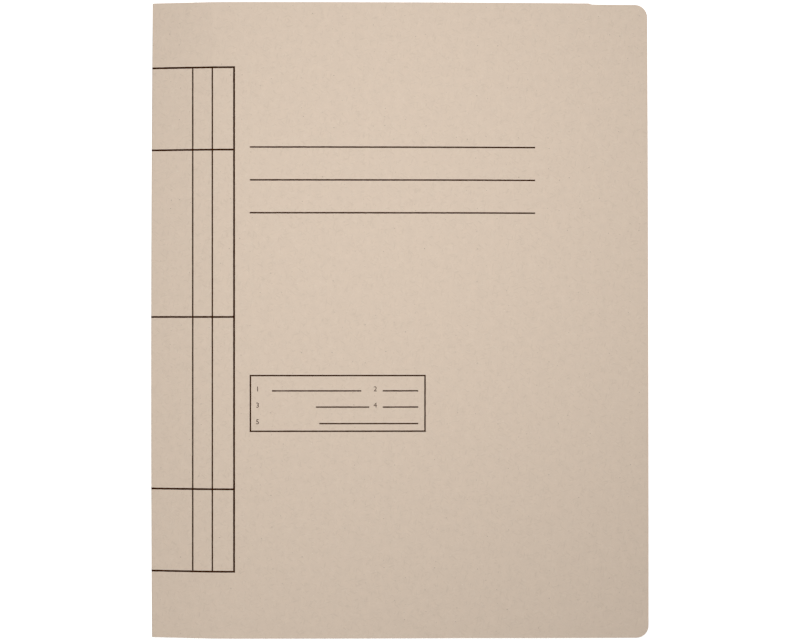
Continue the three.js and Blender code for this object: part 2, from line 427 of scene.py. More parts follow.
def grouped_material(name, group, bump, strength, **values):
    """A material whose colour, roughness and raised grain come from a shader group."""
    material, tree, shader = new_material(name)
    look = tree.nodes.new("ShaderNodeGroup")
    look.node_tree = group
    for label, value in values.items():
        look.inputs[label].default_value = value
    tree.links.new(look.outputs["Color"], shader.inputs["Base Color"])
    tree.links.new(look.outputs["Roughness"], shader.inputs["Roughness"])
    raised = add(tree, "Bump", Height=look.outputs["Height"], Distance=bump, Strength=strength)
    tree.links.new(raised.outputs["Normal"], shader.inputs["Normal"])
    print(f"material {name} from {group.name}")
    return material, shader


print(f"middle grey on a screen is {srgb(128, 128, 128)[0]:.3f} in linear light")

# %% [markdown]
# Manila card is recycled pulp: a warm buff with faint clouds where the pulp settled unevenly, a
# fine mottle, short lighter and darker fibres in all directions and now and then a dark speck.
# One shader group holds these, reading the flat sheet's own map, so that the pattern stays on the
# card when a cover turns. It puts out a colour, a roughness and a height for the bump.

# %% Fibres and specks
FIBRE_SCALE, FIBRE_STRETCH = 1200, 0.2
FIBRE_FROM, FIBRE_FULL = 0.16, 0.27
CURL_SCALE, CURL_REACH = 350, 0.4 * MM
SMALLEST_SPECK, FAINTEST_SPECK, SPECK_CORE = 0.4, 0.35, 0.4


def curled(tree, sheet):
    """The flat map, pushed about a little, so that what is drawn on it curls."""
    push = add(
        tree, "TexNoise", {"noise_dimensions": "2D"}, Vector=sheet, Scale=CURL_SCALE, Detail=1)
    both = add(tree, "VectorMath", {"operation": "ADD"})
    tree.links.new(sheet, both.inputs[0])
    tree.links.new(scaled_vector(tree, push.outputs["Color"], CURL_REACH), both.inputs[1])
    return both.outputs[0]


def strands(tree, place, angles, shift):
    """Where some fibres lie, in several directions, as 0 to 1."""
    found = None
    for number, angle in enumerate(angles):
        turned = add(
            tree, "Mapping", Vector=place, Location=(shift + number, 0, 0),
            Rotation=(0, 0, math.radians(angle)))
        drawn = add(tree, "Mapping", Vector=turned.outputs["Vector"], Scale=(FIBRE_STRETCH, 1, 1))
        grain = flat_noise(tree, drawn.outputs["Vector"], FIBRE_SCALE, 1)
        one = ramp(tree, grain, FIBRE_FROM, FIBRE_FULL)
        found = math_node(tree, "MAXIMUM", found, one) if found else one
    return found


def specks(tree, sheet, cells_per_metre, radius, share):
    """Small round specks of several sizes and strengths, as 0 to 1."""
    cells = add(
        tree, "TexVoronoi", {"voronoi_dimensions": "2D"}, Vector=sheet, Scale=cells_per_metre)
    draw = add(tree, "SeparateColor", Color=cells.outputs["Color"])
    size = ramp(tree, draw.outputs["Green"], 0, 1, SMALLEST_SPECK)
    reach = math_node(tree, "MULTIPLY", size, radius * cells_per_metre)
    inside = math_node(tree, "DIVIDE", cells.outputs["Distance"], reach)
    dot = ramp(tree, inside, 1, SPECK_CORE)
    chosen = math_node(tree, "LESS_THAN", draw.outputs["Red"], share)
    strength = ramp(tree, draw.outputs["Blue"], 0, 1, FAINTEST_SPECK)
    return math_node(tree, "MULTIPLY", math_node(tree, "MULTIPLY", dot, chosen), strength)


print(f"a fibre is drawn {1 / FIBRE_STRETCH:.0f} times as long as wide")

# %% The card's look
PALE_ANGLES, PALE_SHIFT = (12, 71, 133), 0
DARK_ANGLES, DARK_SHIFT = (38, 102, 164), 5
PALE_FIBRE = srgb(242, 230, 214)
DARK_FIBRE = srgb(158, 138, 116)
CARD_ROUGHNESS = (0.82, 0.95)
PALE_FIBRE_LIFT = 0.3

# The mottle is given by its scale, its detail and its roughness. Specks are given by their cells
# to the metre, their largest radius and the share of cells that hold one.
MOTTLE = (200, 4, 0.62)
DARK_SPECKS = (200, 0.27 * MM, 0.27)
PALE_SPECKS = (150, 0.3 * MM, 0.18)
DARK_SPECK = srgb(112, 88, 66)
PALE_SPECK = srgb(240, 228, 212)


def fibre_group():
    """The card's colour, roughness and raised grain from its flat map."""
    tree, given, result = new_group("card_fibres", ["Mottle", "Fibres", "Specks"])
    sheet = flat_map(tree)

    def weighted(value, label):
        return math_node(tree, "MULTIPLY", value, given.outputs[label])

    curls = curled(tree, sheet)
    mottle = flat_noise(tree, sheet, *MOTTLE)
    pale = strands(tree, curls, PALE_ANGLES, PALE_SHIFT)
    dark = strands(tree, curls, DARK_ANGLES, DARK_SHIFT)

    level = math_node(tree, "ADD", weighted(mottle, "Mottle"), 1)
    toned = scaled_vector(tree, given.outputs["Tone"], level)
    colour = mix_colours(tree, weighted(pale, "Fibres"), toned, PALE_FIBRE)
    colour = mix_colours(tree, weighted(dark, "Fibres"), colour, DARK_FIBRE)
    dark_specks = weighted(specks(tree, sheet, *DARK_SPECKS), "Specks")
    pale_specks = weighted(specks(tree, sheet, *PALE_SPECKS), "Specks")
    colour = mix_colours(tree, dark_specks, colour, DARK_SPECK)
    colour = mix_colours(tree, pale_specks, colour, PALE_SPECK)
    tree.links.new(colour, result.inputs["Color"])
    roughness = ramp(tree, mottle, *NOISE_RANGE, *CARD_ROUGHNESS)
    tree.links.new(roughness, result.inputs["Roughness"])
    height = math_node(tree, "ADD", mottle, math_node(tree, "MULTIPLY", pale, PALE_FIBRE_LIFT))
    tree.links.new(height, result.inputs["Height"])
    return tree


card_fibres = fibre_group()
print("shader group card_fibres with", len(card_fibres.nodes), "nodes")

# %% Card materials
CARD_BUMP, CARD_BUMP_STRENGTH = 0.03 * MM, 0.6
CARD_SPECKS = 0.8
CARD_SHINE = 0.3
EDGE_GRAIN = {"mottle": 0.3, "fibres": 0.3}


def card_material(name, tone, mottle=0.1, fibres=0.11):
    """Card of a tone, and how strongly its mottle and its fibres show."""
    material, shader = grouped_material(
        name, card_fibres, CARD_BUMP, CARD_BUMP_STRENGTH, Tone=tone, Mottle=mottle, Fibres=fibres,
        Specks=CARD_SPECKS)
    shader.inputs["Specular IOR Level"].default_value = CARD_SHINE
    return material


card_outside = card_material("manila_outside", srgb(223, 204, 185))
card_inside = card_material("manila_inside", srgb(218, 200, 178))
card_edge = card_material("manila_cut_edge", srgb(206, 186, 160), **EDGE_GRAIN)
CARD_LOOK = [card_outside, card_inside, card_edge]
CARD_LOOK_BACK = [card_inside, card_outside, card_edge]

# %% [markdown]
# The blank's outline is the same for both covers: square at the spine, rounded at the fore edge,
# with the small step that the die leaves in the top edge. The fold line starts half way up the
# spine, turns over the front fold and climbs over two scored lines to a third, the ridge above
# the fastener. From there a long parabola falls to the fore edge. Bent along it, one sheet is
# both cover and half the spine.

# %% The covers' fold lines
FOLD_RADIUS = 0.45 * MM
SCORE_RADIUS = 9 * MM
SPINE_MIDDLE = (back_fold.z + front_fold.z) / 2
CURVE_STEPS = 200
fore_z = front_low.z + card / 2


def bent_through(line, points, radii, last_heading):
    """Walks straight from point to point, turning by an arc of its radius at each."""
    for i, (point, radius) in enumerate(zip(points, radii)):
        after = points[i + 1] if i + 1 < len(points) else None
        heading = math.atan2(after[1] - point[1], after[0] - point[0]) if after else last_heading
        turn = heading - line.heading[-1]
        run = math.hypot(point[0] - line.a[-1], point[1] - line.b[-1])
        line.run(run - radius * math.tan(abs(turn) / 2)).bend(radius, turn)
    return line


def fall(x):
    """Height of the sprung card beyond the ridge, which it leaves level."""
    return ridge_z - (ridge_z - fore_z) * ((x - ridge_x) / (fore_x - ridge_x)) ** 2


scored_points = [(front_fold.x, front_fold.z)] + list(zip(SCORES, score_heights))
front_line = FoldLine(front_fold.x, SPINE_MIDDLE, math.pi / 2)
bent_through(front_line, scored_points, [FOLD_RADIUS] + [SCORE_RADIUS] * 3, 0.0)
front_line.follow(fall, fore_x, CURVE_STEPS).done()
back_line = FoldLine(back_fold.x, SPINE_MIDDLE, -math.pi / 2)
back_line.run(SPINE_MIDDLE - back_fold.z - FOLD_RADIUS).bend(FOLD_RADIUS, math.pi / 2)
back_line.run(fore_x - back_fold.x - FOLD_RADIUS).done()
print(f"front sheet {front_line.u[-1] / MM:.1f} mm long, back sheet {back_line.u[-1] / MM:.1f} mm")

# %% How true the card is
SPINE_REACH = 12 * MM
SPINE_SHIFT, SPINE_TILT, SPINE_BOW = -0.24 * MM, 0.2 * MM, 0.55 * MM
FORE_FROM = 30 * MM
FORE_SHIFT, FORE_TILT, FORE_BOW = 0.1 * MM, -0.36 * MM, -0.2 * MM
FOOT_DROP = 0.5 * MM


def untrue(x, y):
    """How far a place of the card lies from a true rectangle: it was cut and folded by machine
    with some play, and the fastener pushes the spine out at half height."""
    up = y / top_y
    near_spine = max(0.0, 1 - (x - spine_x) / SPINE_REACH) ** 2
    near_fore = min(1.0, max(0.0, (x - FORE_FROM) / (fore_x - FORE_FROM)))
    shift = near_spine * (SPINE_SHIFT + SPINE_TILT * up + SPINE_BOW * up * up)
    shift += near_fore ** 2 * (FORE_SHIFT + FORE_TILT * up + FORE_BOW * up * up)
    return shift, -FOOT_DROP * near_fore * (1 - up) / 2


def bent_along(line):
    """Carries a flat place of the card to its bent one along a fold line."""
    def place(u, v, lift):
        x, z = line.at(u, lift)
        shift_x, shift_y = untrue(x, v)
        return Vector((x + shift_x, v + shift_y, z))
    return place


on_front = bent_along(front_line)
on_back = bent_along(back_line)
print(f"the middle of the spine lies {untrue(spine_x, 0)[0] / MM:.2f} mm from its true line")

# %% Cutting and folding the card
CORNER = 6 * MM
NICK_DEPTH = 0.55 * MM
NICK_FROM_EDGE = 29 * MM
NICK_RUN = 1.5 * MM
FOLD_END, FOLD_STEP = 4 * MM, 0.12 * MM
SCORED_END, SCORED_STEP = 50 * MM, 0.7 * MM
CURVED_STEP, PAGE_STEP = 4 * MM, 8 * MM


def cover(name, line, place, way, look):
    """Half of the die-cut blank, from the middle of the spine to the fore edge."""
    length = float(line.u[-1])
    low_top = top_y - NICK_DEPTH
    nick = length - NICK_FROM_EDGE
    outline = [
        (0, -top_y), (length, -top_y), (length, low_top), (nick + NICK_RUN, low_top), (nick, top_y),
        (0, top_y)]
    u_cuts = steps_between(0, FOLD_END, FOLD_STEP)
    u_cuts += steps_between(FOLD_END, SCORED_END, SCORED_STEP)
    u_cuts += steps_between(SCORED_END, length, CURVED_STEP) + [FOLD_END, SCORED_END]
    v_cuts = steps_between(-top_y, top_y, PAGE_STEP)
    bm = blank(outline, card, [(1, CORNER), (2, CORNER)], u_cuts, v_cuts)
    return new_piece(name, bend(bm, place, way), look)


front_card = cover("front_card", front_line, on_front, 1, CARD_LOOK)
back_card = cover("back_card", back_line, on_back, -1, CARD_LOOK_BACK)
BLEND_REACH = 0.6 * MM
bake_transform(front_card)
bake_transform(back_card)
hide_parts("front_cover")
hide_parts("back_cover", "spine_panel")

# %% [markdown]
# The form is printed in dark brown ink: a ruled box that runs over the spine, three title rules
# and a small index box. Each rule is a very thin film of its own, bent with the card it lies on,
# with an edge that wavers a little, as a rule does on fibrous card. A picture could hold these
# lines too, but thin films stay crisp from near. The form's captions are words, so their places
# hold plain field numbers instead.

# %% The ink
INK_DARK, INK_WORN = srgb(50, 23, 4), srgb(92, 58, 28)
INK_GRAIN = (1600, 3)
WORN_FROM, WORN_FULL = 0.05, 0.3
INK_ROUGHNESS = (0.6, 0.8)
INK_SHINE = 0.05
INK_FILM = 0.03 * MM
WAVER_STEP = 1.2 * MM
WAVER_LEAST, WAVER_MOST = 0.92, 1.04


def ink_material():
    """Dark brown ink, a little worn on the grain of the card."""
    material, tree, shader = new_material("printing_ink")
    sheet = flat_map(tree)
    grain = flat_noise(tree, sheet, *INK_GRAIN)
    worn = ramp(tree, grain, WORN_FROM, WORN_FULL)
    tree.links.new(mix_colours(tree, worn, INK_DARK, INK_WORN), shader.inputs["Base Color"])
    roughness = ramp(tree, grain, *NOISE_RANGE, *INK_ROUGHNESS)
    tree.links.new(roughness, shader.inputs["Roughness"])
    shader.inputs["Specular IOR Level"].default_value = INK_SHINE
    return material


ink = ink_material()
random.seed(7)


def rule(bm, start, end, width):
    """A thin film along u or along v, added to a bmesh, with a slightly wavering edge."""
    (u0, v0), (u1, v1) = start, end
    length = math.hypot(u1 - u0, v1 - v0)
    count = max(2, round(length / WAVER_STEP))
    along = Vector(((u1 - u0) / length, (v1 - v0) / length))
    across = Vector((-along.y, along.x))
    made = bmesh.ops.create_grid(bm, x_segments=count, y_segments=1, size=0.5)
    for vertex in made["verts"]:
        share = vertex.co.x + 0.5
        side = 1 if vertex.co.y > 0 else -1
        half = width / 2 * random.uniform(WAVER_LEAST, WAVER_MOST)
        point = Vector((u0, v0)) + along * length * share + across * side * half
        vertex.co = (point.x, point.y, 0)


def printed(name, rules, place, surface):
    """All rules of one sheet as one piece. The surface is the lift of the card's outer face."""
    bm = bmesh.new()
    for start, end, width in rules:
        rule(bm, start, end, width)
    bisect_all(bm, steps_between(0, FOLD_END, FOLD_STEP), 0)
    bmesh.ops.translate(bm, vec=(0, 0, surface), verts=bm.verts[:])
    thicken(bm, math.copysign(INK_FILM, surface))
    return new_piece(name, bend(bm, place), [ink])


print(f"ink film of {INK_FILM / MM:.2f} mm")

# %% [markdown]
# The form's places are given in millimetres, from the spine and from the middle of the page. The
# columns of its ruled box lie on the scored lines, and each has its own width. The box starts
# half way up the spine on both sheets, so its rows run on from cover to cover. A rule in the
# index box is given by its height on the page and its two ends.

# %% The form's places
BOX_COLUMNS = list(zip(SCORE_PLACES, (0.71, 0.69, 0.92)))
BOX_ROWS = [123.25, 83.15, 1.65, -82.25, -122.4]
BOX_ROW_WIDTH = 0.91
TITLE_RULES = [84.4, 68.4, 52.4]
TITLE_FROM, TITLE_TO, TITLE_WIDTH = 48.4, 187.5, 0.73
INDEX_FROM, INDEX_TO, INDEX_WIDTH = 48.7, 133.7, 0.73
INDEX_TOP, INDEX_LOW = -26.9, -54.0
INDEX_RULES = [
    (-34.35, 59.2, 102.7), (-34.35, 113.1, 130.4), (-42.25, 80.55, 106.5), (-42.25, 113.1, 130.4),
    (-50.3, 82.2, 130.4)]
INDEX_RULE_WIDTH = 0.66
BACK_BOX_EDGE = 12.0


def across_front(from_spine):
    """Distance along the front sheet of a place given from the spine's edge."""
    return front_line.u_at(spine_x + from_spine * MM)


def row_rule(row, start, end, width):
    """A rule across the front sheet: its two ends on the flat sheet, and its width."""
    return (across_front(start), row * MM), (across_front(end), row * MM), width * MM


def box_row(row, end_u):
    """A row of the ruled box on either sheet, from the middle of the spine."""
    return (0, row * MM), (end_u, row * MM), BOX_ROW_WIDTH * MM


def column_rule(u, top, low, width):
    """A rule up a sheet, at a distance along it."""
    return (u, top * MM), (u, low * MM), width * MM


print(f"the title rules start {across_front(TITLE_FROM) / MM:.1f} mm along the sheet")

# %% The printed form
box_top, box_low = BOX_ROWS[0], BOX_ROWS[-1]
edge_column, edge_width = BOX_COLUMNS[-1]
box_end = across_front(edge_column + edge_width / 2)
index_start = INDEX_FROM - INDEX_WIDTH / 2
index_end = INDEX_TO + INDEX_WIDTH / 2
front_rules = [
    column_rule(across_front(column), box_top, box_low, width) for column, width in BOX_COLUMNS]
front_rules += [box_row(row, box_end) for row in BOX_ROWS]
front_rules += [row_rule(row, TITLE_FROM, TITLE_TO, TITLE_WIDTH) for row in TITLE_RULES]
front_rules += [
    row_rule(row, index_start, index_end, INDEX_WIDTH) for row in (INDEX_TOP, INDEX_LOW)]
front_rules += [
    column_rule(across_front(column), INDEX_TOP, INDEX_LOW, INDEX_WIDTH)
    for column in (INDEX_FROM, INDEX_TO)]
front_rules += [row_rule(row, start, end, INDEX_RULE_WIDTH) for row, start, end in INDEX_RULES]

back_edge = BACK_BOX_EDGE * MM
back_rules = [box_row(row, back_edge + edge_width / 2 * MM) for row in BOX_ROWS]
back_rules.append(column_rule(back_edge, box_top, box_low, edge_width))
print(len(front_rules), "rules on the front,", len(back_rules), "on the back")

front_form = printed("front_form", front_rules, on_front, card / 2)
back_form = printed("back_form", back_rules, on_back, -card / 2)
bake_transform(front_form)
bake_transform(back_form)

# %% Field numbers in the index box
NUMBER_SIZE = 3.5 * MM
NUMBER_ARC_STEPS = 3
NUMBER_PLACES = [
    ("1", 51.3, -34.6), ("2", 108.6, -34.6), ("3", 51.3, -42.5), ("4", 108.6, -42.5),
    ("5", 51.3, -50.55)]


def flat_numeral(text):
    """A plain numeral as one flat layer in a new bmesh, starting at the origin."""
    curve = bpy.data.curves.new("number", "FONT")
    curve.body = text
    curve.size = NUMBER_SIZE
    curve.resolution_u = NUMBER_ARC_STEPS
    letter = in_scene("number", curve)
    depsgraph = bpy.context.evaluated_depsgraph_get()
    flat = bpy.data.meshes.new_from_object(letter.evaluated_get(depsgraph))
    bpy.data.objects.remove(letter)
    bm = bmesh.new()
    bm.from_mesh(flat)
    bpy.data.meshes.remove(flat)
    bmesh.ops.remove_doubles(bm, verts=bm.verts[:], dist=HAIR)
    return bm


def field_number(text, from_spine, height):
    """A numeral as a thin film of ink on the front cover."""
    bm = flat_numeral(text)
    place = (across_front(from_spine), height * MM, card / 2)
    bmesh.ops.translate(bm, vec=place, verts=bm.verts[:])
    thicken(bm, INK_FILM)
    piece = new_piece("field_number_" + text, bend(bm, on_front), [ink])
    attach(piece, "front")


for number, from_spine, height in NUMBER_PLACES:
    field_number(number, from_spine, height)

# %% [markdown]
# Inside the back cover a strip of card is glued down over the tinplate strip that carries the
# prongs. It is embossed, so it rises softly over the metal, and has a slit for each prong. The
# soft rise is a smooth function of the place, given to a finely cut blank.

# %% The filing strip
STRIP_CORNER = 4 * MM
STRIP_STEP = 6 * MM
EMBOSS_SLOPE, SLOPE_STEPS = 1.1 * MM, 6
EMBOSS_MARGIN = 1.6 * card
SLIT_CLEARANCE = 0.4 * MM
strip_x = (strip_low.x + strip_high.x) / 2
prong_width = prong_high.x - prong_low.x
base_half_x = (base_high.x - base_low.x) / 2
emboss_x = base_half_x + EMBOSS_MARGIN
emboss_y = base_high.y + EMBOSS_MARGIN
emboss_rise = strip_high.z - strip_low.z - card


def smooth(t):
    """An even rise from 0 to 1 with soft ends."""
    t = min(1.0, max(0.0, t))
    return t * t * (3 - 2 * t)


def slope_cuts(edge):
    """Places of the cuts across the embossed slopes at both sides of the middle."""
    places = [edge - EMBOSS_SLOPE * i / SLOPE_STEPS for i in range(SLOPE_STEPS + 1)]
    return [-place for place in places] + places


def on_strip(u, v, lift):
    """Carries a flat place of the filing card to its embossed one."""
    across = smooth((emboss_x - abs(u)) / EMBOSS_SLOPE)
    along = smooth((emboss_y - abs(v)) / EMBOSS_SLOPE)
    return Vector((strip_x + u, v, strip_low.z + card / 2 + lift + emboss_rise * across * along))


half_u = (strip_high.x - strip_low.x) / 2
half_v = strip_high.y
slit_u = prong_width / 2 + SLIT_CLEARANCE
slit_v = tin / 2 + SLIT_CLEARANCE
slits = [(-slit_u, side * prong_y - slit_v, slit_u, side * prong_y + slit_v) for side in (-1, 1)]
strip_blank = blank(
    rectangle(-half_u, -half_v, half_u, half_v), card, [(i, STRIP_CORNER) for i in range(4)],
    slope_cuts(emboss_x), slope_cuts(emboss_y) + steps_between(-half_v, half_v, STRIP_STEP), slits)
strip_card = card_material("strip_card", srgb(205, 186, 160))
strip_edge = card_material("strip_cut_edge", srgb(190, 170, 142), **EDGE_GRAIN)
STRIP_LOOK = [strip_card, strip_card, strip_edge]
filing_strip = new_piece("filing_card", bend(strip_blank, on_strip), STRIP_LOOK)
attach(filing_strip, "back")
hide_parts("filing_strip")
print(f"filing card {2 * half_u / MM:.0f} by {2 * half_v / MM:.0f} mm flat")

# %% [markdown]
# The metal is bright tinplate. Rolled sheet shows fine lines along its length, faint clouding and
# small scuffs. These come from one group, which reads the same flat map as the card, so that the
# rolled lines follow each bend.

# %% Tinplate
STREAKS_PER_METRE = (6000, 160, 1)
STREAK_DETAIL = 3
CLOUDS = (260, 4)
STREAK_TONE, STREAK_DULLING = 0.25, 0.25
TIN_BUMP, TIN_BUMP_STRENGTH = 0.01 * MM, 0.5


def rolled_group():
    """Tinplate's colour, roughness and fine raised lines from its flat map."""
    tree, given, result = new_group("rolled_tinplate", ["Lines", "Polish"])
    sheet = flat_map(tree)
    stretched = add(tree, "Mapping", Vector=sheet, Scale=STREAKS_PER_METRE)
    streak = flat_noise(tree, stretched.outputs["Vector"], 1, STREAK_DETAIL)
    wear = math_node(tree, "ADD", streak, flat_noise(tree, sheet, *CLOUDS))
    level = math_node(tree, "MULTIPLY", wear, given.outputs["Lines"])
    level = math_node(tree, "ADD", level, 1)
    toned = scaled_vector(tree, given.outputs["Tone"], level)
    tree.links.new(toned, result.inputs["Color"])
    dull = math_node(tree, "MULTIPLY", wear, STREAK_DULLING)
    roughness = math_node(tree, "ADD", given.outputs["Polish"], dull, clamp=True)
    tree.links.new(roughness, result.inputs["Roughness"])
    tree.links.new(streak, result.inputs["Height"])
    return tree


rolled_tinplate = rolled_group()


def metal(name, tone, polish):
    """Tinplate of a tone. The polish is its roughness, before the streaks dull it."""
    material, shader = grouped_material(
        name, rolled_tinplate, TIN_BUMP, TIN_BUMP_STRENGTH, Tone=tone, Polish=polish,
        Lines=STREAK_TONE)
    shader.inputs["Metallic"].default_value = 1.0
    return material


prong_metal = metal("prong_tinplate", srgb(214, 211, 204), polish=0.26)
bar_metal = metal("bar_tinplate", srgb(203, 202, 200), polish=0.3)
PRONG_LOOK = [prong_metal] * 3
BAR_LOOK = [bar_metal] * 3
EDGE_WEAR = 0.05 * MM

# %% [markdown]
# One strip of tinplate makes both prongs: its floor lies under the filing card, and its ends come
# up through the slits. Each free end is bent down over the bar. The bend is the joint's line, so
# the leaf is a piece of its own. It starts hidden in the filing card's slit.

# %% The prong strip
ROOT_RADIUS = 0.5 * MM
UPSTAND = 0.02 * MM
ROOT_STEP = 0.15 * MM
SHOULDER, NECK = 4 * MM, 1 * MM
floor_z = base_low.z + tin / 2
leaf_z = floor_z + ROOT_RADIUS + UPSTAND
half_leaf = prong_width / 2


def lengthwise(line, x, side=1):
    """Places a sheet whose fold line lies in Y and Z, with its width along X."""
    def place(u, v, lift):
        y, z = line.at(u, lift)
        return Vector((x + v, side * y, z))
    return place


base_line = FoldLine(-prong_y, leaf_z, -math.pi / 2)
base_line.run(UPSTAND).bend(ROOT_RADIUS, math.pi / 2)
base_line.run(2 * (prong_y - ROOT_RADIUS)).bend(ROOT_RADIUS, math.pi / 2)
base_line.run(UPSTAND).done()
base_length = float(base_line.u[-1])
widening = [(0, half_leaf), (SHOULDER, half_leaf), (SHOULDER + NECK, base_half_x)]
bend_cuts = steps_between(0, SHOULDER, ROOT_STEP)
bend_cuts += [base_length - cut for cut in bend_cuts]
base_blank = blank(mirrored(widening, base_length), tin, u_cuts=bend_cuts)
bend(base_blank, lengthwise(base_line, prong_x))
prong_strip = new_piece("prong_strip", base_blank, PRONG_LOOK, EDGE_WEAR)
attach(prong_strip, "back")
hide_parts("fastener_base")
print(f"floor and upstands {base_length / MM:.1f} mm flat")

# %% The two leaves
LEAF_RADIUS = 0.4 * MM
LEAF_BEND_END = 4 * MM
LEAF_BEND_STEP, LEAF_STEP = 0.1 * MM, 1.5 * MM
TIP_RADIUS = 0.42 * prong_width
tip_y = prong_low.y


def prong_leaf(name, side):
    """A leaf walks up out of the slot, over the bend and inwards along the bar to its tip."""
    line = FoldLine(prong_y, leaf_z, math.pi / 2)
    line.run(bend_z - LEAF_RADIUS - leaf_z).bend(LEAF_RADIUS, math.pi / 2)
    line.run(prong_y - LEAF_RADIUS - tip_y).done()
    length = float(line.u[-1])
    cuts = steps_between(0, LEAF_BEND_END, LEAF_BEND_STEP)
    cuts += steps_between(LEAF_BEND_END, length, LEAF_STEP)
    bm = blank(
        rectangle(0, -half_leaf, length, half_leaf), tin, [(1, TIP_RADIUS), (2, TIP_RADIUS)],
        cuts, [0])
    leaf = new_piece(name, bend(bm, lengthwise(line, prong_x, side)), PRONG_LOOK, EDGE_WEAR)
    start = (prong_x, side * prong_y, bend_z - BLEND_REACH)
    end = (prong_x, side * (prong_y - BLEND_REACH), bend_z)
    return leaf, start, end


for name, side in (("upper", 1), ("lower", -1)):
    leaf, start, end = prong_leaf(f"{name}_prong_leaf", side)
    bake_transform(leaf)
    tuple(start)
    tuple(end)
    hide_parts(f"prong_{name}")

# %% [markdown]
# The bar is pressed from a flat strip: both long edges are rolled under into hems, which stiffen
# it and give the sliding clips a rail, and each end has a slot that drops over a prong. A shallow
# groove runs along its middle. The hem is part of the fold line, and the groove is a small dip
# added to each place.

# %% The bar's fold line
BAR_TIN = 0.3 * MM
HEM = 1.4 * MM
HEM_STEPS = 12
GROOVE_DEPTH, GROOVE_HALF = 0.18 * MM, 1.3 * MM
GROOVE_END, GROOVE_FADE = 6 * MM, 2 * MM
BAR_CORNER = 3 * MM
bar_half = (bar_high.x - bar_low.x) / 2
bar_end = bar_high.y
hem_radius = (bar_high.z - bar_low.z - BAR_TIN) / 2
hem_run = HEM - hem_radius - BAR_TIN / 2
top_run = 2 * (bar_half - hem_radius - BAR_TIN / 2)
bar_line = FoldLine(-bar_half + HEM, bar_low.z + BAR_TIN / 2, math.pi)
bar_line.run(hem_run).bend(hem_radius, -math.pi, HEM_STEPS).run(top_run)
bar_line.bend(hem_radius, -math.pi, HEM_STEPS).run(hem_run).done()
bar_u = float(bar_line.u[-1])
bar_mid = bar_u / 2


def end_cut(x):
    """How far the rounded ends of the bar draw in, at a distance from its middle."""
    past = min(BAR_CORNER, max(0.0, abs(x) - bar_half + BAR_CORNER))
    return BAR_CORNER - math.sqrt(BAR_CORNER ** 2 - past ** 2)


def on_bar(u, v, lift):
    """Carries a flat place of the bar to its bent one, with its rounded ends and its groove."""
    x, z = bar_line.at(u, lift)
    if abs(v) > bar_end - HAIR:
        v -= math.copysign(end_cut(x), v)
    groove = smooth((GROOVE_HALF - abs(u - bar_mid)) / GROOVE_HALF)
    groove *= smooth((prong_y - GROOVE_END - abs(v)) / GROOVE_FADE)
    return Vector((prong_x + x, v, z - GROOVE_DEPTH * groove))


print(f"bar blank {bar_u / MM:.1f} by {2 * bar_end / MM:.0f} mm flat")

# %% The cover bar
SLOT_IN, SLOT_OUT = 4.4 * MM, 0.4 * MM
PAST_HEM, HEM_STEP = 0.2 * MM, 0.14 * MM
FLANK_STEP = 0.2 * MM
GROOVE_STEPS = 5
LENGTH_END, LENGTH_STEP = 4 * MM, 3 * MM
slots = [
    (bar_mid - slit_u, prong_y - SLOT_IN, bar_mid + slit_u, prong_y + SLOT_OUT),
    (bar_mid - slit_u, -prong_y - SLOT_OUT, bar_mid + slit_u, -prong_y + SLOT_IN)]
groove_edges = [bar_mid - GROOVE_HALF, bar_mid + GROOVE_HALF]
bar_cuts = steps_between(0, hem_run + math.pi * hem_radius + PAST_HEM, HEM_STEP)
bar_cuts += steps_between(bar_mid - top_run / 2, groove_edges[0], FLANK_STEP)
bar_cuts += [bar_u - cut for cut in bar_cuts] + groove_edges
bar_cuts += steps_between(*groove_edges, GROOVE_HALF / GROOVE_STEPS)
length_cuts = steps_between(-prong_y + LENGTH_END, prong_y - LENGTH_END, LENGTH_STEP)
bar_blank = blank(
    rectangle(0, -bar_end, bar_u, bar_end), BAR_TIN, u_cuts=bar_cuts, v_cuts=length_cuts,
    holes=slots)
pressed_bar = new_piece("pressed_bar", bend(bar_blank, on_bar), BAR_LOOK, EDGE_WEAR)
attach(pressed_bar, "bar")
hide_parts("cover_bar")

# %% [markdown]
# Each clip is a short piece of the same sheet, wrapped round the bar and hooked under its hems. It
# slides out over the flat prong and locks it. Three ribs pressed into its top give the thumb a
# grip, and the corners of its two lips are cut off, so that it runs on without catching.

# %% A clip's fold line
CLIP_TIN = 0.3 * MM
CLIP_RADIUS, CLIP_BEND_STEPS = 0.35 * MM, 6
CLIP_LIP = 1.2 * MM
ROOF_STEPS = 16
RIB_HEIGHT, RIB_HALF, RIB_PITCH = 0.3 * MM, 0.7 * MM, 2 * MM
RIB_ROOM = 0.45 * MM
RIB_INSET, RIB_FADE = 1 * MM, 0.5 * MM
clip_half = (clip_high.x - clip_low.x) / 2 - CLIP_TIN / 2
clip_length = clip_high.y - clip_low.y
clip_floor = clip_low.z + CLIP_TIN / 2
clip_roof = clip_high.z - RIB_ROOM - CLIP_TIN / 2

lip_run = CLIP_LIP - CLIP_RADIUS
wall_run = clip_roof - clip_floor - 2 * CLIP_RADIUS
roof_run = 2 * (clip_half - CLIP_RADIUS)
clip_line = FoldLine(-clip_half + CLIP_LIP, clip_floor, math.pi)
for run, steps in ((lip_run, 1), (wall_run, 1), (roof_run, ROOF_STEPS), (wall_run, 1)):
    clip_line.run(run, steps).bend(CLIP_RADIUS, -math.pi / 2, CLIP_BEND_STEPS)
clip_line.run(lip_run).done()
clip_u = float(clip_line.u[-1])
rib_end = roof_run / 2 - RIB_INSET
print(f"clip blank {clip_u / MM:.1f} by {clip_length / MM:.1f} mm flat")

# %% The sliding clips
LIP_CUT = 0.6 * MM
CLIP_STEP = 0.1 * MM


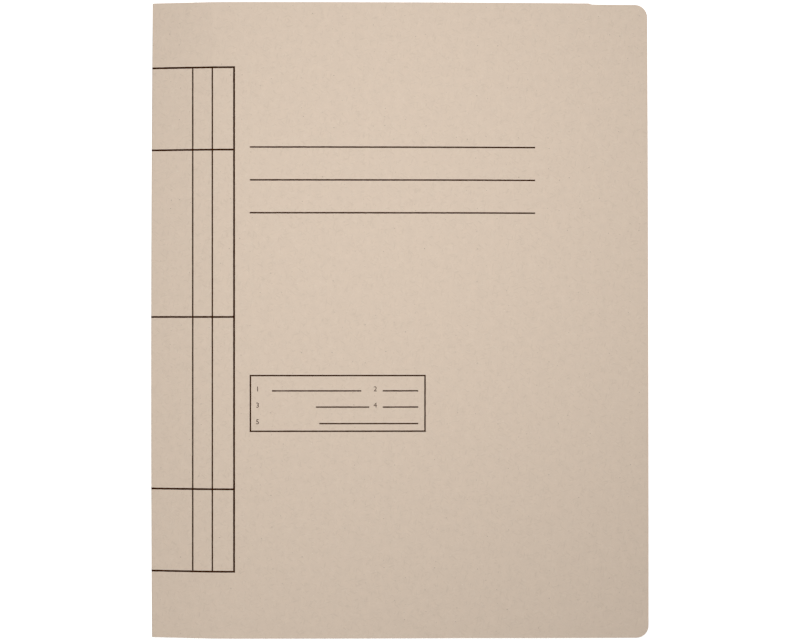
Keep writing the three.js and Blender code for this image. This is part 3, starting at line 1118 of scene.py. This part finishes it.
def clip_place(centre):
    """Carries a flat place of a clip to its bent one, with the ribs pressed up in its roof."""
    def place(u, v, lift):
        x, z = clip_line.at(u, lift)
        across = smooth((rib_end - abs(u - clip_u / 2)) / RIB_FADE)
        ribs = sum(smooth((RIB_HALF - abs(v - i * RIB_PITCH)) / RIB_HALF) for i in (-1, 0, 1))
        return Vector((prong_x + x, centre + v, z + RIB_HEIGHT * ribs * across))
    return place


def sliding_clip(name, body, node, side):
    """A clip round the bar, on the side of its prong."""
    half = clip_length / 2
    outline = mirrored([(0, half - LIP_CUT), (LIP_CUT, half)], clip_u)
    u_cuts = [float(u) for u in clip_line.u[1:-1]]
    bm = blank(outline, CLIP_TIN, u_cuts=u_cuts, v_cuts=steps_between(-half, half, CLIP_STEP))
    centre = side * (clip_low.y + clip_high.y) / 2
    clip = new_piece(name, bend(bm, clip_place(centre)), BAR_LOOK, EDGE_WEAR)
    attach(clip, body)
    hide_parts(node)


sliding_clip("upper_clip", "upper_slider", "slider_upper", 1)
sliding_clip("lower_clip", "lower_slider", "slider_lower", -1)

# %% [markdown]
# The photograph looks straight down from about a metre and a half on a folder lying on white. The
# camera stands at that height, so the raised ridge grows and the page's edges bow as they do
# there. At the ridge, one metre of the folder takes up 2054.2 pixels of the picture.

# %% Camera
CAMERA_HEIGHT = 1.5
CAMERA_X, CAMERA_Y = 0.02 * MM, 0.17 * MM
PIXELS_WIDE = 800
RIDGE_SCALE = 2054.2
SENSOR = 36.0
camera_data = bpy.data.cameras.new("camera")
camera_data.sensor_width = SENSOR
camera_data.lens = RIDGE_SCALE * (CAMERA_HEIGHT - front_high.z) / PIXELS_WIDE * SENSOR
camera = in_scene("camera", camera_data)
camera.location = (CAMERA_X, CAMERA_Y, CAMERA_HEIGHT)
bpy.context.scene.camera = camera
print(f"lens {camera_data.lens:.1f} mm")

# %% [markdown]
# A soft lamp above the upper middle gives the slow fall of light towards the lower right. A second
# one, towards the lower left, lights the spine, and a third one stands under the table, for views
# from below. The camera and the reflections see the surroundings as pure white, but only part of
# that white falls on the card as light, so the lamps still shape it.

# %% Lamps and world
LAMP_SIZE = 0.3
LAMPS = [
    ("key_lamp", (0.014, 0.125, 0.477), 1.4),
    ("side_lamp", (-0.41, -0.415, 0.495), 0.75),
    ("under_lamp", (0.05, 0.1, -0.56), 2.3)]
WORLD_LIGHT = 0.3
WHITE = (1, 1, 1, 1)


def soft_lamp(name, place, power):
    """A round lamp that shines on the origin."""
    data = bpy.data.lights.new(name, "AREA")
    data.shape = "DISK"
    data.size = LAMP_SIZE
    data.energy = power
    lamp = in_scene(name, data)
    lamp.location = place
    lamp.rotation_euler = (-Vector(place)).to_track_quat("-Z", "Y").to_euler()
    print(f"{name} of {power} W")


def seen_directly(tree):
    """1 where the camera or a reflection looks, 0 for the light that falls on the folder."""
    path = tree.nodes.new("ShaderNodeLightPath")
    seen = math_node(
        tree, "MAXIMUM", path.outputs["Is Camera Ray"], path.outputs["Is Glossy Ray"])
    return math_node(tree, "MAXIMUM", seen, path.outputs["Is Transmission Ray"])


for name, place, power in LAMPS:
    soft_lamp(name, place, power)

world = bpy.data.worlds.new("studio")
bpy.context.scene.world = world
world.use_nodes = True
world_tree = world.node_tree
surroundings = world_tree.nodes["Background"]
surroundings.inputs["Color"].default_value = WHITE
strength = ramp(world_tree, seen_directly(world_tree), 0, 1, WORLD_LIGHT)
world_tree.links.new(strength, surroundings.inputs["Strength"])

# %% [markdown]
# The table is a white sheet that glows a little where it is looked at, so that it comes out as
# white as the photograph's ground. An opening under the folder, just inside its outline, lets the
# lowest lamp reach the folder's underside. The table lies a little below the card, because the
# middle of the spine is slightly outside its true line and sinks that far when the folder opens.

# %% Table
TABLE_GREY = (0.75, 0.75, 0.75, 1)
TABLE_ROUGHNESS = 0.9
TABLE_GLOW = 0.8
TABLE_DROP = 0.28 * MM
TABLE_SPREAD = 24
OPENING_INSET = 1 * MM


def table_material():
    """A white ground: plain and matte, with a glow where the camera or a reflection looks."""
    material, tree, shader = new_material("white_table")
    shader.inputs["Base Color"].default_value = TABLE_GREY
    shader.inputs["Roughness"].default_value = TABLE_ROUGHNESS
    glow = math_node(tree, "MULTIPLY", seen_directly(tree), TABLE_GLOW)
    white = add(tree, "Emission", Color=WHITE, Strength=glow)
    both = tree.nodes.new("ShaderNodeAddShader")
    tree.links.new(shader.outputs[0], both.inputs[0])
    tree.links.new(white.outputs[0], both.inputs[1])
    tree.links.new(both.outputs[0], tree.nodes["Material Output"].inputs["Surface"])
    return material


low_x, high_x = spine_x + OPENING_INSET, fore_x - OPENING_INSET
half_y = top_y - OPENING_INSET
opening_corner = CORNER - OPENING_INSET
table_bm = flat_face(
    rectangle(low_x, -half_y, high_x, half_y), -TABLE_DROP,
    [(1, opening_corner), (2, opening_corner)])
grown = bmesh.ops.extrude_edge_only(table_bm, edges=table_bm.edges[:])
outer = [item for item in grown["geom"] if isinstance(item, bmesh.types.BMVert)]
bmesh.ops.scale(table_bm, vec=(TABLE_SPREAD, TABLE_SPREAD, 1), verts=outer)
opening = min(table_bm.faces, key=lambda face: face.calc_center_median().length)
bmesh.ops.delete(table_bm, geom=[opening], context="FACES_ONLY")
table = new_piece("table", table_bm, [table_material()])
bpy.context.scene.view_settings.view_transform = "Standard"
